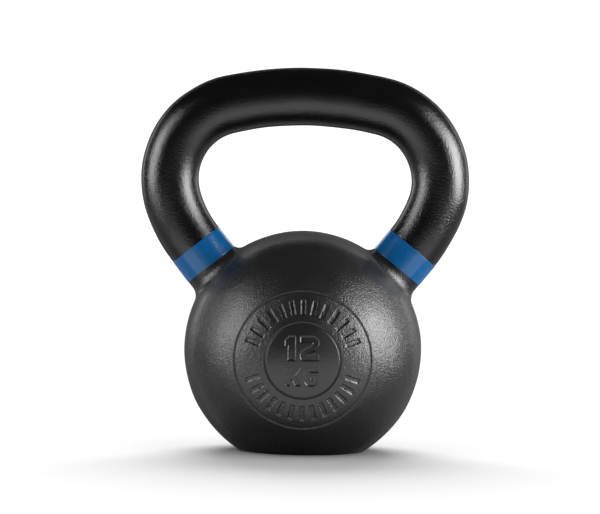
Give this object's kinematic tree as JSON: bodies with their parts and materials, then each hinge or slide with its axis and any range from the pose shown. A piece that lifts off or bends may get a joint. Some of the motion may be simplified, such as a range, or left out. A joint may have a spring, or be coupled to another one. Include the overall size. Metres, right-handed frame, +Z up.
{
  "type": "kettlebell",
  "caption": "Cast-iron kettlebell: a ball with a flat base and a thick bent handle cast with it, and a colour band round each end of the handle.",
  "frame": {"origin": "middle of the flat base, on the floor", "axes": "+Z up through the middle of the grip, +X along the handle from its left end to its right, -Y the marked face of the ball"},
  "size_m": [0.1918, 0.1384, 0.2233],
  "materials": {
    "black_powder_coat": "cast iron under a finely grained black powder coat, satin on the handle and more matte on the ball",
    "blue_band": "smooth blue, semi-gloss"
  },
  "bodies": {
    "root": {"cast_iron_body": "black_powder_coat", "left_colour_band": "blue_band", "right_colour_band": "blue_band"}
  },
  "joints": []
}
